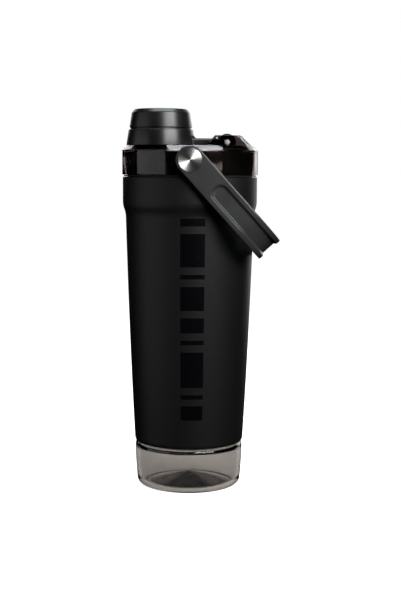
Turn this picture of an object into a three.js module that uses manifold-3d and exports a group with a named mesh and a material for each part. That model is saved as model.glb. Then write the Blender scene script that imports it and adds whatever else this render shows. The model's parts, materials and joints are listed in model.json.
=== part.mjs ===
// Insulated shaker bottle: a vacuum-walled steel body, a screw lid with a flip-up twist cap and a
// swinging carry handle, and a clear storage cup that screws on underneath.
// Millimetres, +Z up. The origin is the middle of the face that the bottle stands on, and the
// handle hangs on the +X side.
import * as THREE from "three";
import { mergeVertices } from "three/addons/utils/BufferGeometryUtils.js";
import Module from "manifold-3d";

const wasm = await Module();
wasm.setup();

// ---------------------------------------------------------------- driving dimensions

const GAP = 0.3; // air left between pieces that touch
const ROUND = 40; // sides of the large round pieces
const ROUND_SMALL = 20; // sides of pins and bushes
const CURVE_STEPS = 2; // straight steps in each curve of an outline, and half those in an arc

// Heights of the stack.
const CUP_SHOULDER_Z = 30.6;
const CUP_RIM_Z = 42;
const BODY_BOTTOM_Z = 31.2;
const BODY_RIM_Z = 213.9;
const LID_BOTTOM_Z = 215.4;
const LID_EDGE_Z = 231.95; // where the lid's upright side turns into its chamfer
const DECK_Z = 235;
const HOUSING_Z = 242.1;
const SPOUT_RIM_Z = 246;
const TOP_Z = 260;

// Storage cup's neck, which screws into the body's foot.
const CUP_NECK_R = 32.4;
const CUP_THREAD_CREST = CUP_NECK_R + 1.2;

// Body: two steel walls with a vacuum between them.
const BODY_FOOT_R = 36.6;
const BODY_LOW_R = 37.7;
const BODY_HIGH_R = 44.05;
const BODY_BAND_R = 46.1;
const STEEL = 0.6;
const LINER_WALL = 0.7;
const MOUTH_R = BODY_BAND_R - STEEL - GAP - LINER_WALL; // clear bore of the bottle's mouth

// Screw threads: four starts, so that a part comes free in one turn.
const STARTS = 4;
const LID_LEAD = 18;
const CUP_LEAD = 16;
const CAP_LEAD = 6;
const LID_THREAD_Z = 201.6;
const CUP_THREAD_Z = 36.5;
const RIB_STEPS = 7;

// Lid: a see-through outer shell over a solid inner lid that carries the screw plug and the spout.
const LID_R = 46.45;
const LID_WALL = 2.45;
const LID_CHAMFER = DECK_Z - LID_EDGE_Z;
const DECK_THICKNESS = 2.6;
const POCKET_FLOOR_Z = 229; // underside of the thick part of the deck below the cap's hinge
const PLUG_R = MOUTH_R - 1.6;
const PLUG_BORE_R = 39.6;
const PLUG_BOTTOM_Z = 199.5;
const ROOF_Z = 232.05; // top of the inner lid, close below the deck
const ROOF_UNDERSIDE_Z = 226.9;
const PIVOT_POCKET_Y = 41.2; // how close to the axis the pivots' pockets reach in the inner lid
const BOSS_R = 6.9;

// Spout and cap, on an axis of their own left of the middle.
const CAP_X = -20.1;
const SPOUT_R = 14.5;
const SPOUT_BORE_R = 12.5;
const SPOUT_THREAD_CREST = SPOUT_R + 0.6;
const CARRIER_LOW_R = 23.55;
const CARRIER_HIGH_R = 22;
const CARRIER_TOP_Z = 245.95;
const CAP_LOW_R = 21.4;
const CAP_HIGH_R = 19.85;
const CAP_BOTTOM_Z = 247.3;
const CARRIER_RIB_R = 20.9; // raised rib that fills the groove under the cap
const SKIRT_R = 18.6;
const SKIRT_BOTTOM_Z = 237;

// Cap hinge.
const HINGE_X = 25;
const HINGE_Z = 237.5;
const HINGE_PIN_R = 1.75;
const KNUCKLE_R = 5.9;
const KNUCKLE_HALF = 9;
const HOUSING_HALF = 15.4;

// Handle: a flat strap bent into a U, hung on two pivots in the sides of the lid.
const PIVOT_Z = 225.3;
const STRAP_ANGLE = THREE.MathUtils.degToRad(47.9); // below level, where the grip meets the body
const STRAP_WIDTH = 18.6;
const STRAP_THICKNESS = 4.6;
const HANDLE_HALF = 52.5;
const HANDLE_REACH = 80.3;
const BEND_R = 28;
const CHANNEL_WIDTH = 12.5;
const CHANNEL_DEPTH = 1.5;
const CHANNEL_START = 23.4;
const PIVOT_DISC_R = 7.8;
const PIVOT_SHANK_R = 3.5;
const BUSH_R = 5.3;

// ---------------------------------------------------------------- materials

const LOOKS = {
  powderCoat: new THREE.MeshStandardMaterial({ color: 0x1b1c1f, roughness: 0.5, metalness: 0 }),
  steel: new THREE.MeshStandardMaterial({ color: 0xb9babd, roughness: 0.3, metalness: 1 }),
  smokeClear: new THREE.MeshStandardMaterial({
    color: 0x8d8784,
    roughness: 0.08,
    metalness: 0,
    transparent: true,
    opacity: 0.5,
  }),
  smokeDark: new THREE.MeshStandardMaterial({ color: 0x0c0b0e, roughness: 0.08, metalness: 0 }),
  satinBlack: new THREE.MeshStandardMaterial({ color: 0x1c1c1f, roughness: 0.4, metalness: 0 }),
  satinGrey: new THREE.MeshStandardMaterial({ color: 0x2c2d30, roughness: 0.42, metalness: 0 }),
  silicone: new THREE.MeshStandardMaterial({ color: 0x0d0d0e, roughness: 0.8, metalness: 0 }),
};

// ---------------------------------------------------------------- shape helpers

// A closed three.js geometry as a manifold solid, with its faces pointing out.
function solid(geometry) {
  const bare = new THREE.BufferGeometry();
  bare.setAttribute("position", geometry.getAttribute("position"));
  bare.setIndex(geometry.getIndex());
  const merged = mergeVertices(bare, 1e-4);
  const vertProperties = merged.getAttribute("position").array;
  const triVerts = new Uint32Array(merged.getIndex().array);
  const made = new wasm.Manifold(new wasm.Mesh({ numProp: 3, vertProperties, triVerts }));
  if (made.volume() > 0) return made;
  triVerts.reverse();
  return new wasm.Manifold(new wasm.Mesh({ numProp: 3, vertProperties, triVerts }));
}

// One named sub-part of the bottle.
function piece(name, shape, look) {
  const { vertProperties, triVerts } = shape.getMesh();
  const geometry = new THREE.BufferGeometry();
  geometry.setAttribute("position", new THREE.BufferAttribute(vertProperties, 3));
  geometry.setIndex(new THREE.BufferAttribute(triVerts, 1));
  geometry.computeVertexNormals();
  const mesh = new THREE.Mesh(geometry, look);
  mesh.name = name;
  return mesh;
}

// Turns an outline of [radius, height] points, which starts and ends on the axis, about Z.
function turned(outline, sides = ROUND) {
  const points = outline.map(([radius, height]) => new THREE.Vector2(radius, height));
  const geometry = new THREE.LatheGeometry(points, sides);
  geometry.rotateX(Math.PI / 2);
  return solid(geometry);
}

// Turns an outline that closes on itself, which leaves a hole through the middle.
function turnedRing(outline, sides = ROUND) {
  return turned([...outline, outline[0]], sides);
}

// A plain tube about Z.
function tube(outerR, innerR, lowZ, highZ, sides = ROUND) {
  const outline = [
    [outerR, lowZ],
    [outerR, highZ],
    [innerR, highZ],
    [innerR, lowZ],
  ];
  return turnedRing(outline, sides);
}

// A plain disc or rod about Z.
function rod(radius, lowZ, highZ, sides = ROUND_SMALL) {
  const outline = [
    [0, lowZ],
    [radius, lowZ],
    [radius, highZ],
    [0, highZ],
  ];
  return turned(outline, sides);
}

// A rod along Y.
function crossRod(radius, lowY, highY, sides = ROUND_SMALL) {
  const geometry = new THREE.CylinderGeometry(radius, radius, highY - lowY, sides);
  geometry.translate(0, (lowY + highY) / 2, 0);
  return solid(geometry);
}

// A box given by its lowest and highest corners.
function block([lowX, lowY, lowZ], [highX, highY, highZ]) {
  const geometry = new THREE.BoxGeometry(highX - lowX, highY - lowY, highZ - lowZ);
  geometry.translate((lowX + highX) / 2, (lowY + highY) / 2, (lowZ + highZ) / 2);
  return solid(geometry);
}

// The points of a path as [radius, height] pairs.
function pointsOf(path, steps = CURVE_STEPS) {
  return path.getPoints(steps).map((point) => [point.x, point.y]);
}

// A side view drawn in X and Z, made as wide as asked along Y and centred on it.
function sidePrism(shape, width) {
  const options = { depth: width, bevelEnabled: false, curveSegments: 8 };
  const geometry = new THREE.ExtrudeGeometry(shape, options);
  geometry.rotateX(Math.PI / 2);
  geometry.translate(0, width / 2, 0);
  return solid(geometry);
}

// A plan drawn in X and Y, made as tall as asked along Z and centred on it.
function planPrism(shape, height) {
  const options = { depth: height, bevelEnabled: false, curveSegments: 5 };
  const geometry = new THREE.ExtrudeGeometry(shape, options);
  geometry.translate(0, 0, -height / 2);
  return solid(geometry);
}

// A closed polygon from a list of corners.
function polygon(corners) {
  return new THREE.Shape(corners.map(([x, y]) => new THREE.Vector2(x, y)));
}

// The ribs of a right-hand thread, each a bar bent along a helix about Z. A crest wider than the
// root makes an outside thread, and a narrower one an inside thread. z is the height at which the
// middle of each rib starts.
function threadRibs({ root, crest, z, lead, starts = STARTS }) {
  const sweep = (Math.PI * 2 * 0.88) / starts;
  const pitch = lead / starts;
  const rootHalf = pitch * 0.23;
  const crestHalf = pitch * 0.15;
  const ribs = [];
  for (let start = 0; start < starts; start++) {
    const bar = new THREE.BoxGeometry(1, 1, 1, RIB_STEPS, 1, 1);
    const place = bar.getAttribute("position");
    for (let i = 0; i < place.count; i++) {
      const along = (place.getX(i) + 0.5) * sweep;
      const angle = along + (start * Math.PI * 2) / starts;
      const atCrest = place.getY(i) > 0;
      const radius = atCrest ? crest : root;
      const half = atCrest ? crestHalf : rootHalf;
      const height = z + (lead * along) / (Math.PI * 2) + Math.sign(place.getZ(i)) * half;
      place.setXYZ(i, radius * Math.cos(angle), radius * Math.sin(angle), height);
    }
    ribs.push(solid(bar));
  }
  return wasm.Manifold.union(ribs);
}

// ---------------------------------------------------------------- storage cup

// Round-bottomed clear cup with a stepped-in threaded neck and a cone in its floor.
function storageCup() {
  const wallR = 37.2;
  const footR = 35.9;
  const cornerR = 4;
  const neckBoreR = 30.5;
  const outside = new THREE.Path();
  outside.moveTo(0, 0);
  outside.lineTo(footR - cornerR, 0);
  outside.absarc(footR - cornerR, cornerR, cornerR, -Math.PI / 2, 0, false);
  outside.quadraticCurveTo(37, 14, wallR, 26);
  outside.lineTo(wallR, CUP_SHOULDER_Z - 1);
  outside.lineTo(wallR - 0.3, CUP_SHOULDER_Z - 0.3);
  outside.lineTo(wallR - 1, CUP_SHOULDER_Z);
  outside.lineTo(CUP_NECK_R, CUP_SHOULDER_Z);
  outside.lineTo(CUP_NECK_R, CUP_RIM_Z);
  outside.lineTo(neckBoreR, CUP_RIM_Z);
  outside.lineTo(neckBoreR, CUP_SHOULDER_Z + 0.2);
  outside.lineTo(wallR - 2.4, CUP_SHOULDER_Z - 3);
  outside.lineTo(footR - 2.1, 10);
  outside.absarc(footR - 10.1, 10, 8, 0, -Math.PI / 2, true);
  outside.lineTo(0, 8.5);
  const threads = threadRibs({
    root: CUP_NECK_R - 0.4,
    crest: CUP_THREAD_CREST,
    z: CUP_THREAD_Z,
    lead: CUP_LEAD,
  });
  return turned(pointsOf(outside)).add(threads);
}

// ---------------------------------------------------------------- body

// Outside line of the steel body, from its foot up: a small curl, a long taper and a flare into the
// straight band around the mouth.
function bodyOutline() {
  const path = new THREE.Path();
  const curlHeight = 2.9;
  path.moveTo(BODY_FOOT_R, BODY_BOTTOM_Z);
  path.absellipse(
    BODY_FOOT_R,
    BODY_BOTTOM_Z + curlHeight,
    BODY_LOW_R - BODY_FOOT_R,
    curlHeight,
    -Math.PI / 2,
    0,
    false,
  );
  path.bezierCurveTo(40.6, 85, 42.3, 130, BODY_HIGH_R, 186.5);
  path.bezierCurveTo(44.25, 191.8, 46.05, 192.2, BODY_BAND_R, 197.5);
  path.lineTo(BODY_BAND_R, BODY_RIM_Z);
  return pointsOf(path, 3);
}

function outerShell() {
  const outside = bodyOutline();
  const inside = outside.map(([radius, height]) => [radius - STEEL, height]);
  return turnedRing([...outside, ...inside.reverse()]);
}

// The inner wall: a tapered tub whose threaded mouth fills the band.
function innerLiner() {
  const tub = (inset) => {
    const path = new THREE.Path();
    path.moveTo(0, 52 + inset);
    path.lineTo(27, 52 + inset);
    path.absarc(27, 60.5, 8.5 - inset, -Math.PI / 2, 0, false);
    path.lineTo(41.2 - inset, 189.5);
    path.lineTo(MOUTH_R + LINER_WALL - inset, 199.5);
    path.lineTo(MOUTH_R + LINER_WALL - inset, BODY_RIM_Z);
    return pointsOf(path);
  };
  const wall = turned([...tub(0), ...tub(LINER_WALL).reverse()]);
  const threads = threadRibs({
    root: MOUTH_R + 0.4,
    crest: MOUTH_R - 1.2,
    z: LID_THREAD_Z + LID_LEAD / STARTS / 2,
    lead: LID_LEAD,
  });
  return wall.add(threads);
}

// The disc that closes the vacuum space, with the dimple where it was sealed.
function basePlate() {
  const outline = [
    [0, 43.4],
    [4, 43.4],
    [6, 44.3],
    [36.9, 44.3],
    [36.9, 45.2],
    [5.6, 45.2],
    [3.6, 44.3],
    [0, 44.3],
  ];
  return turned(outline);
}

// The threaded ring in the body's foot that the storage cup screws into.
function baseCollar() {
  const boreR = CUP_THREAD_CREST + 0.4;
  const footR = BODY_FOOT_R - STEEL - GAP;
  const outline = [
    [boreR, CUP_SHOULDER_Z + 1.4],
    [footR, CUP_SHOULDER_Z + 1.4],
    [footR, 34.4],
    [36.6, 36],
    [36.9, 43.9],
    [boreR, 43.9],
  ];
  const threads = threadRibs({
    root: boreR + 0.4,
    crest: CUP_NECK_R + 0.4,
    z: CUP_THREAD_Z - CUP_LEAD / STARTS / 2,
    lead: CUP_LEAD,
  });
  return turnedRing(outline).add(threads);
}

// ---------------------------------------------------------------- lid

// The lid's round outside, filled in, with the hinge housing's height above the deck.
function lidEnvelope() {
  const topR = LID_R - LID_CHAMFER - (HOUSING_Z - DECK_Z);
  return turned([
    [0, LID_BOTTOM_Z],
    [LID_R, LID_BOTTOM_Z],
    [LID_R, LID_EDGE_Z],
    [topR, HOUSING_Z],
    [0, HOUSING_Z],
  ]);
}

// Two cheeks that hold the cap's hinge pin, with a slot between them that is open to the rim.
function hingeHousing() {
  const sideView = polygon([
    [10.8, DECK_Z - 1],
    [10.8, DECK_Z],
    [16.6, HOUSING_Z],
    [LID_R, HOUSING_Z],
    [LID_R, DECK_Z - 1],
  ]);
  const cheeks = sidePrism(sideView, HOUSING_HALF * 2).intersect(lidEnvelope());
  const floor = block([HINGE_X - 9, -12, POCKET_FLOOR_Z], [HINGE_X + 9, 12, DECK_Z - 1]);
  return cheeks.add(floor);
}

// The see-through outer shell, with a hole for the spout and a boss inside for each handle pivot.
function lidShell() {
  const innerR = LID_R - LID_WALL;
  const underside = DECK_Z - DECK_THICKNESS;
  const skin = turned([
    [0, DECK_Z],
    [LID_R - LID_CHAMFER, DECK_Z],
    [LID_R, LID_EDGE_Z],
    [LID_R, LID_BOTTOM_Z],
    [innerR, LID_BOTTOM_Z],
    [innerR, underside - 1.6],
    [innerR - 1.6, underside],
    [0, underside],
  ]);
  const spoutHole = rod(SPOUT_THREAD_CREST + GAP, underside - 1, DECK_Z + 1, ROUND);
  const slotHalf = KNUCKLE_HALF + 0.4;
  const slot = block([0, -slotHalf, DECK_Z], [LID_R + 1, slotHalf, HOUSING_Z + 1]);
  const pocket = crossRod(KNUCKLE_R + 0.4, -slotHalf, slotHalf);
  const pinBore = crossRod(HINGE_PIN_R + GAP, -HOUSING_HALF - 1, HOUSING_HALF + 1);
  let shell = skin
    .add(hingeHousing())
    .subtract(slot)
    .subtract(pocket.add(pinBore).translate([HINGE_X, 0, HINGE_Z]))
    .subtract(spoutHole.translate([CAP_X, 0, 0]));
  for (const side of [-1, 1]) {
    const faces = (low, high) => [side * low, side * high].sort((a, b) => a - b);
    const boss = crossRod(BOSS_R, ...faces(PIVOT_POCKET_Y + 0.4, innerR + 1));
    const hole = crossRod(PIVOT_SHANK_R + GAP, ...faces(42.3, LID_R + 1));
    shell = shell.add(boss.translate([0, 0, PIVOT_Z])).subtract(hole.translate([0, 0, PIVOT_Z]));
  }
  return shell;
}

// The opaque, thick-roofed inner lid: the plug that screws into the bottle's mouth, the body that
// fills the outer shell, and the threaded spout. It is pocketed for the deck's hinge floor and for
// the pivots' bosses.
function innerLid() {
  const sideR = LID_R - LID_WALL - GAP;
  const edge = 1.55;
  const wall = turned([
    [0, ROOF_UNDERSIDE_Z],
    [PLUG_BORE_R, ROOF_UNDERSIDE_Z],
    [PLUG_BORE_R, PLUG_BOTTOM_Z],
    [PLUG_R, PLUG_BOTTOM_Z],
    [PLUG_R, LID_BOTTOM_Z],
    [sideR, LID_BOTTOM_Z],
    [sideR, ROOF_Z - edge],
    [sideR - edge, ROOF_Z],
    [0, ROOF_Z],
  ]);
  const threads = threadRibs({
    root: PLUG_R - 0.4,
    crest: PLUG_R + 1.2,
    z: LID_THREAD_Z,
    lead: LID_LEAD,
  });
  const spout = rod(SPOUT_R, ROOF_UNDERSIDE_Z, SPOUT_RIM_Z, ROUND);
  const spoutThread = threadRibs({
    root: SPOUT_R - 0.4,
    crest: SPOUT_THREAD_CREST,
    z: 241,
    lead: CAP_LEAD,
    starts: 2,
  });
  const bore = rod(SPOUT_BORE_R, ROOF_UNDERSIDE_Z - 1, SPOUT_RIM_Z + 1, ROUND);
  const hingePocket = block(
    [HINGE_X - 9.4, -12.4, POCKET_FLOOR_Z - 0.4],
    [HINGE_X + 9.4, 12.4, ROOF_Z + 1],
  );
  let made = wall
    .add(threads)
    .add(spout.add(spoutThread).translate([CAP_X, 0, 0]))
    .subtract(bore.translate([CAP_X, 0, 0]))
    .subtract(hingePocket);
  for (const side of [-1, 1]) {
    const faces = [side * PIVOT_POCKET_Y, side * LID_R].sort((a, b) => a - b);
    made = made.subtract(crossRod(BOSS_R + 0.4, ...faces).translate([0, 0, PIVOT_Z]));
  }
  return made;
}

// Open grid across the plug's lower end that breaks up powder as the bottle is shaken.
function agitator() {
  const outerR = PLUG_BORE_R - 0.4;
  const lowZ = PLUG_BOTTOM_Z + GAP;
  const barWidth = 2.4;
  const barSpacing = 12;
  const rim = tube(outerR, outerR - 1.8, lowZ, lowZ + 4.2);
  const bars = [];
  for (let step = -2; step <= 2; step++) {
    const low = step * barSpacing - barWidth / 2;
    const high = low + barWidth;
    bars.push(block([low, -outerR, lowZ], [high, outerR, lowZ + 2]));
    bars.push(block([-outerR, low, lowZ], [outerR, high, lowZ + 2]));
  }
  const grid = wasm.Manifold.union(bars).intersect(rod(outerR - 1, lowZ, lowZ + 2, ROUND));
  return rim.add(grid);
}

// ---------------------------------------------------------------- cap

// The ring that keeps the twist cap, with the arm and knuckle that hinge it to the lid.
function capCarrier() {
  const bottomZ = DECK_Z + GAP;
  const boreR = SKIRT_R + 1.5;
  const lipR = SKIRT_R + 0.4;
  const ring = turnedRing([
    [CARRIER_LOW_R, bottomZ],
    [CARRIER_HIGH_R, CARRIER_TOP_Z],
    [CARRIER_RIB_R, CARRIER_TOP_Z],
    [CARRIER_RIB_R, CAP_BOTTOM_Z - GAP],
    [lipR, CAP_BOTTOM_Z - GAP],
    [lipR, 243.4],
    [boreR, 243],
    [boreR, bottomZ],
  ]);
  const hingeOffset = HINGE_X - CAP_X;
  const armTopZ = 240.2;
  const ringOuterX = CARRIER_LOW_R - 1;
  const arm = block([boreR, -KNUCKLE_HALF, bottomZ], [hingeOffset, KNUCKLE_HALF, armTopZ]);
  const gusset = sidePrism(
    polygon([
      [boreR, armTopZ - 1],
      [boreR, armTopZ + 2.2],
      [ringOuterX, armTopZ + 1.6],
      [ringOuterX + 1.6, armTopZ],
      [ringOuterX + 1.6, armTopZ - 1],
    ]),
    KNUCKLE_HALF * 2,
  );
  const knuckle = crossRod(KNUCKLE_R, -KNUCKLE_HALF, KNUCKLE_HALF);
  const pinBore = crossRod(HINGE_PIN_R + GAP, -KNUCKLE_HALF - 1, KNUCKLE_HALF + 1);
  return ring
    .add(arm.subtract(rod(boreR, bottomZ - 1, armTopZ + 1, ROUND)))
    .add(gusset.subtract(rod(boreR, bottomZ - 1, CARRIER_TOP_Z, ROUND)))
    .add(knuckle.translate([hingeOffset, 0, HINGE_Z]))
    .subtract(pinBore.translate([hingeOffset, 0, HINGE_Z]));
}

// The grip that is twisted: a hollow shell, open underneath, with a rounded top edge.
function capShell() {
  const edgeR = 3;
  const outside = new THREE.Path();
  outside.moveTo(CAP_LOW_R, CAP_BOTTOM_Z);
  outside.lineTo(CAP_HIGH_R, TOP_Z - edgeR - 0.1);
  outside.absarc(CAP_HIGH_R - edgeR, TOP_Z - edgeR - 0.1, edgeR, 0, Math.PI / 2, false);
  outside.lineTo(0, TOP_Z);
  outside.lineTo(0, TOP_Z - 2.4);
  outside.lineTo(CAP_HIGH_R - edgeR, TOP_Z - 2.8);
  outside.lineTo(SKIRT_R + 0.35 - 1, TOP_Z - 4);
  outside.lineTo(SKIRT_R + 0.35, CAP_BOTTOM_Z + 0.7);
  outside.lineTo(CAP_LOW_R - 2, CAP_BOTTOM_Z);
  outside.lineTo(CAP_LOW_R, CAP_BOTTOM_Z);
  return turned(pointsOf(outside));
}

// The threaded cup inside the grip, with a bead that the carrier's lip holds back.
function capInsert() {
  const boreR = SKIRT_R - 1.6;
  const discZ = SPOUT_RIM_Z + 2.1;
  const outline = [
    [0, discZ],
    [boreR, discZ],
    [boreR, SKIRT_BOTTOM_Z],
    [SKIRT_R, SKIRT_BOTTOM_Z],
    [SKIRT_R + 1.1, SKIRT_BOTTOM_Z + 0.8],
    [SKIRT_R + 1.1, SKIRT_BOTTOM_Z + 1.8],
    [SKIRT_R, SKIRT_BOTTOM_Z + 2.6],
    [SKIRT_R, discZ + 1.7],
    [0, discZ + 1.7],
  ];
  const threads = threadRibs({
    root: boreR + 0.4,
    crest: boreR - 1,
    z: 239.5,
    lead: CAP_LEAD,
    starts: 2,
  });
  return turned(outline).add(threads);
}

// ---------------------------------------------------------------- handle

// A strap that follows the handle's U between two insets from its outer face. Its two ends are
// round, and their middles stand at headX.
function strap(outerInset, innerInset, width, headX) {
  const half = HANDLE_HALF;
  const bendX = HANDLE_REACH - BEND_R;
  const bendY = half - BEND_R;
  const backX = headX - width;
  const outerR = BEND_R - outerInset;
  const innerR = BEND_R - innerInset;
  const plan = new THREE.Shape();
  plan.moveTo(backX, -(half - outerInset));
  plan.lineTo(bendX, -(half - outerInset));
  plan.absarc(bendX, -bendY, outerR, -Math.PI / 2, 0, false);
  plan.absarc(bendX, bendY, outerR, 0, Math.PI / 2, false);
  plan.lineTo(backX, half - outerInset);
  plan.lineTo(backX, half - innerInset);
  plan.absarc(bendX, bendY, innerR, Math.PI / 2, 0, true);
  plan.absarc(bendX, -bendY, innerR, 0, -Math.PI / 2, true);
  plan.lineTo(backX, -(half - innerInset));
  const sideView = new THREE.Shape();
  sideView.absarc(headX, 0, width / 2, Math.PI / 2, Math.PI * 1.5, false);
  sideView.lineTo(HANDLE_REACH + 5, -width / 2);
  sideView.lineTo(HANDLE_REACH + 5, width / 2);
  return planPrism(plan, width).intersect(sidePrism(sideView, (half + 5) * 2));
}

function handle() {
  const channel = strap(-2, CHANNEL_DEPTH, CHANNEL_WIDTH, CHANNEL_START + CHANNEL_WIDTH / 2);
  let bail = strap(0, STRAP_THICKNESS, STRAP_WIDTH, 0).subtract(channel);
  for (const side of [-1, 1]) {
    const faces = (low, high) => [side * low, side * high].sort((a, b) => a - b);
    const counterbore = crossRod(PIVOT_DISC_R + GAP, ...faces(50.7, HANDLE_HALF + 1));
    const bushHole = crossRod(BUSH_R + GAP, ...faces(40, HANDLE_HALF + 1));
    bail = bail.subtract(counterbore).subtract(bushHole);
  }
  return bail;
}

// A pivot's stepped pin: a shank in the lid's wall and a turned disc with a centre dimple.
function pivotPin() {
  const outline = [
    [0, 42.6],
    [PIVOT_SHANK_R, 42.6],
    [PIVOT_SHANK_R, 51],
    [PIVOT_DISC_R, 51],
    [PIVOT_DISC_R, 51.9],
    [PIVOT_DISC_R - 0.4, 52.3],
    [1.5, 52.3],
    [0, 51.4],
  ];
  return turned(outline, ROUND_SMALL);
}

// A flanged bush that lines the handle's hole and keeps the strap off the lid.
function pivotBush() {
  const boreR = PIVOT_SHANK_R + GAP;
  const outline = [
    [boreR, 46.9],
    [7.5, 46.9],
    [7.5, 47.6],
    [BUSH_R, 47.6],
    [BUSH_R, 50.4],
    [boreR, 50.4],
  ];
  return turnedRing(outline, ROUND_SMALL);
}

// ---------------------------------------------------------------- assembly

function group(...members) {
  const made = new THREE.Group();
  made.add(...members);
  return made;
}

function cupAssembly() {
  const gasket = tube(35.6, CUP_NECK_R + GAP, CUP_SHOULDER_Z + GAP, CUP_SHOULDER_Z + 1.1);
  return group(
    piece("storage_cup", storageCup(), LOOKS.smokeClear),
    piece("cup_gasket", gasket, LOOKS.silicone),
  );
}

function bodyAssembly() {
  const getter = piece("vacuum_getter", rod(5, 45.5, 47.5, 20), LOOKS.steel);
  getter.position.x = 15;
  return group(
    piece("outer_shell", outerShell(), LOOKS.powderCoat),
    piece("inner_liner", innerLiner(), LOOKS.steel),
    piece("base_plate", basePlate(), LOOKS.steel),
    piece("base_collar", baseCollar(), LOOKS.satinBlack),
    getter,
  );
}

function capAssembly() {
  const seal = tube(SPOUT_R + 0.9, SPOUT_BORE_R - 0.3, SPOUT_RIM_Z + GAP, SPOUT_RIM_Z + 1.8, ROUND_SMALL);
  const made = group(
    piece("cap_carrier", capCarrier(), LOOKS.satinBlack),
    piece("cap_shell", capShell(), LOOKS.satinBlack),
    piece("cap_thread_insert", capInsert(), LOOKS.satinBlack),
    piece("cap_seal", seal, LOOKS.silicone),
  );
  made.position.x = CAP_X;
  return made;
}

function handleAssembly() {
  const bail = piece("handle", handle(), LOOKS.satinGrey);
  bail.rotation.y = STRAP_ANGLE;
  const made = group(bail);
  for (const [name, turn] of [["front", Math.PI / 2], ["back", -Math.PI / 2]]) {
    const pin = piece(`pivot_pin_${name}`, pivotPin(), LOOKS.steel);
    const bush = piece(`pivot_bush_${name}`, pivotBush(), LOOKS.satinBlack);
    pin.rotation.x = turn;
    bush.rotation.x = turn;
    made.add(pin, bush);
  }
  made.position.z = PIVOT_Z;
  return made;
}

function lidAssembly() {
  const gasket = tube(45.4, PLUG_R + GAP, LID_BOTTOM_Z - 1.1, LID_BOTTOM_Z - GAP);
  const hingePin = piece("hinge_pin", crossRod(HINGE_PIN_R, -15.2, 15.2, 20), LOOKS.steel);
  hingePin.position.set(HINGE_X, 0, HINGE_Z);
  return group(
    piece("lid_shell", lidShell(), LOOKS.smokeDark),
    piece("inner_lid", innerLid(), LOOKS.satinBlack),
    piece("lid_gasket", gasket, LOOKS.silicone),
    piece("agitator", agitator(), LOOKS.satinGrey),
    hingePin,
    capAssembly(),
    handleAssembly(),
  );
}

export default group(cupAssembly(), bodyAssembly(), lidAssembly());
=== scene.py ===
import json
import math

import bmesh
import bpy
from mathutils import Matrix, Vector


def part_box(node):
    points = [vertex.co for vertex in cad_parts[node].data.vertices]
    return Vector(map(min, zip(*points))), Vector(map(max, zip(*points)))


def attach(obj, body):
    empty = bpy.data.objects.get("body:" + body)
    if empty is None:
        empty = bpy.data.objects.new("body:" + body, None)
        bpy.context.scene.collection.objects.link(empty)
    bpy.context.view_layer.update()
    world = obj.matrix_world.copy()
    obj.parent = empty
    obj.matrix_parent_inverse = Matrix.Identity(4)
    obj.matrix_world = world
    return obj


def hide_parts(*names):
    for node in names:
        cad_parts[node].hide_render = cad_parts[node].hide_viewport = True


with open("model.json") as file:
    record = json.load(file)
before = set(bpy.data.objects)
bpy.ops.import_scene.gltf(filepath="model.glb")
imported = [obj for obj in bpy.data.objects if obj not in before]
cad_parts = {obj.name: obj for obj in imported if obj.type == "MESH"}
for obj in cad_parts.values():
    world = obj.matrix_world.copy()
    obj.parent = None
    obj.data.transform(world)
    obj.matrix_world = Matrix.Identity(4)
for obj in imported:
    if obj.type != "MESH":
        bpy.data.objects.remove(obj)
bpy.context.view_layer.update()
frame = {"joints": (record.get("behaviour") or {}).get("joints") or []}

# ------------------------------------------------------------------ sizes, in millimetres
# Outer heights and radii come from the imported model. Walls, roundings and inner levels are the
# design's own.

MM = 0.001
AROUND = 192          # sides of the large round pieces
AROUND_SMALL = 96     # sides of pins, seals and the spout
FILLET_STEPS = 5


def box_mm(name):
    low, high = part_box(name)
    return low / MM, high / MM


def joint(name):
    return next(j for j in frame["joints"] if j["name"] == name)


shell_low, shell_high = box_mm("outer_shell")
cup_high = box_mm("storage_cup")[1]
lid_low, lid_high = box_mm("lid_shell")
cap_low, cap_high = box_mm("cap_shell")
insert_low, insert_high = box_mm("cap_thread_insert")
carrier_low = box_mm("cap_carrier")[0]
inner_low, inner_high = box_mm("inner_lid")
liner_low = box_mm("inner_liner")[0]
collar_low, collar_high = box_mm("base_collar")
grid_low, grid_high = box_mm("agitator")
plate_high = box_mm("base_plate")[1]

BODY_BOTTOM_Z = shell_low.z
BODY_RIM_Z = shell_high.z
BAND_R = shell_high.x
CUP_R = cup_high.x
CUP_RIM_Z = cup_high.z
LID_R = lid_high.x
LID_BOTTOM_Z = lid_low.z
SPOUT_RIM_Z = inner_high.z
CAP_X = (cap_low.x + cap_high.x) / 2
CAP_R = (cap_high.x - cap_low.x) / 2
CAP_BOTTOM_Z = cap_low.z
CAP_TOP_Z = cap_high.z
CARRIER_BOTTOM_Z = SPOUT_RIM_Z - 10.7
CARRIER_R = CAP_X - carrier_low.x
HINGE = Vector(joint("cap_flip")["pos_m"]) / MM
PIVOT_Z = joint("handle_swing")["pos_m"][2] / MM
PIVOT_ORIGIN = (0, 0, PIVOT_Z)

STEEL_WALL = 0.6
CUP_SHOULDER_Z = 30.6
CUP_NECK_R = 32.4
CUP_LEAD = 16
CUP_THREAD_Z = 36.5
LID_EDGE_Z = 231.95
DECK_Z = 235
HOUSING_Z = lid_high.z
HOUSING_HALF = 15.4
SLOT_HALF = 9.4
KNUCKLE_R = 5.9
KNUCKLE_HALF = 9
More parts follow.
